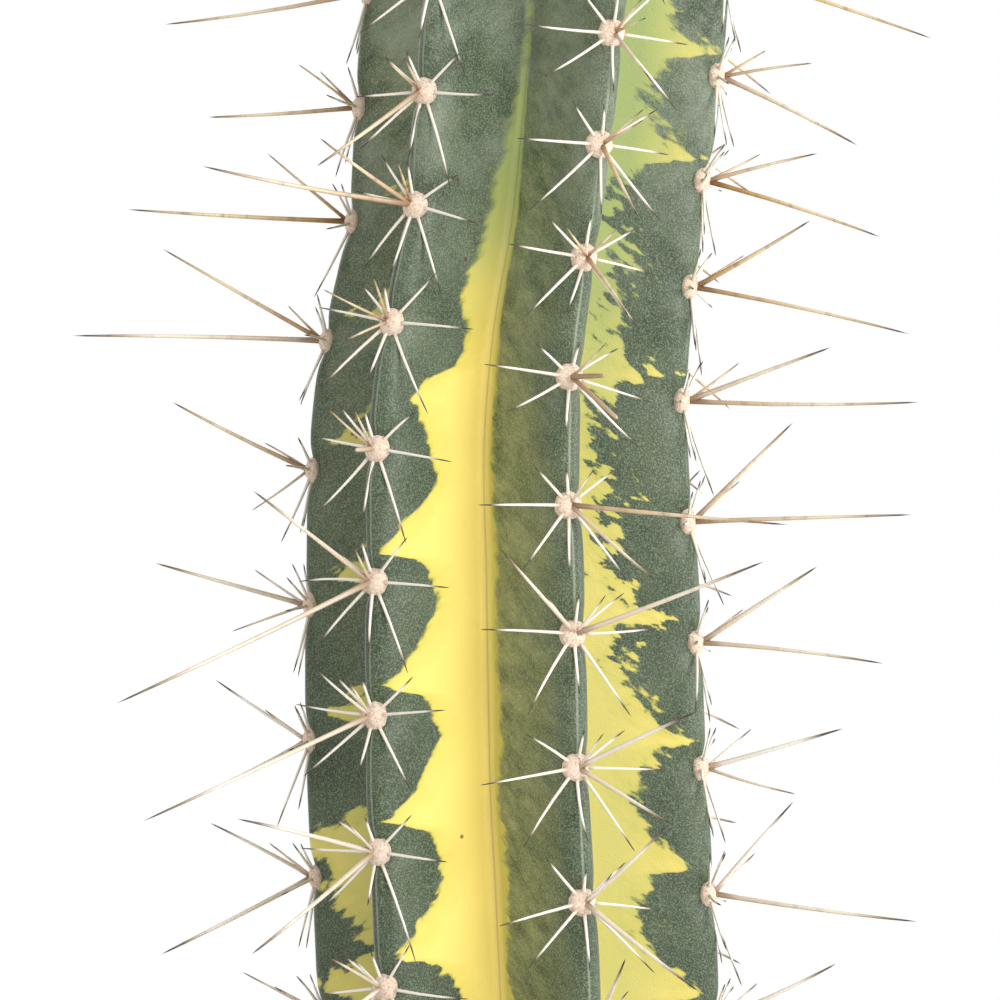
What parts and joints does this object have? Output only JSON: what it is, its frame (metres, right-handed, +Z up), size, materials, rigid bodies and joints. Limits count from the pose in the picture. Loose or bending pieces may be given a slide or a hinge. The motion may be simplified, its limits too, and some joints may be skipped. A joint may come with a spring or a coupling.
{
  "type": "potted columnar cactus",
  "caption": "Tall ribbed columnar cactus, variegated green and yellow, with woolly areoles and long spines along its ribs, standing in a plain clay pot of soil.",
  "frame": {"origin": "centre of the pot's foot, on the surface it stands on", "axes": "+Z up along the stem, -Y towards the front, +X to the viewer's right"},
  "size_m": [0.244, 0.244, 0.7585],
  "materials": {
    "clay": "unglazed fired terracotta, matte, faintly chalky",
    "soil": "dark gritty potting soil",
    "skin": "matte waxy green skin with butter-yellow variegation",
    "spine": "smooth tan and ivory spines with brown streaks and dark tips, on short cream felt",
    "wool": "soft cream wool"
  },
  "bodies": {
    "root": {"pot": "clay", "soil": "soil", "stem": "skin", "crown": "wool", "rib_1_spines": "spine", "rib_2_spines": "spine", "rib_3_spines": "spine", "rib_4_spines": "spine", "rib_5_spines": "spine", "rib_6_spines": "spine"}
  },
  "joints": []
}
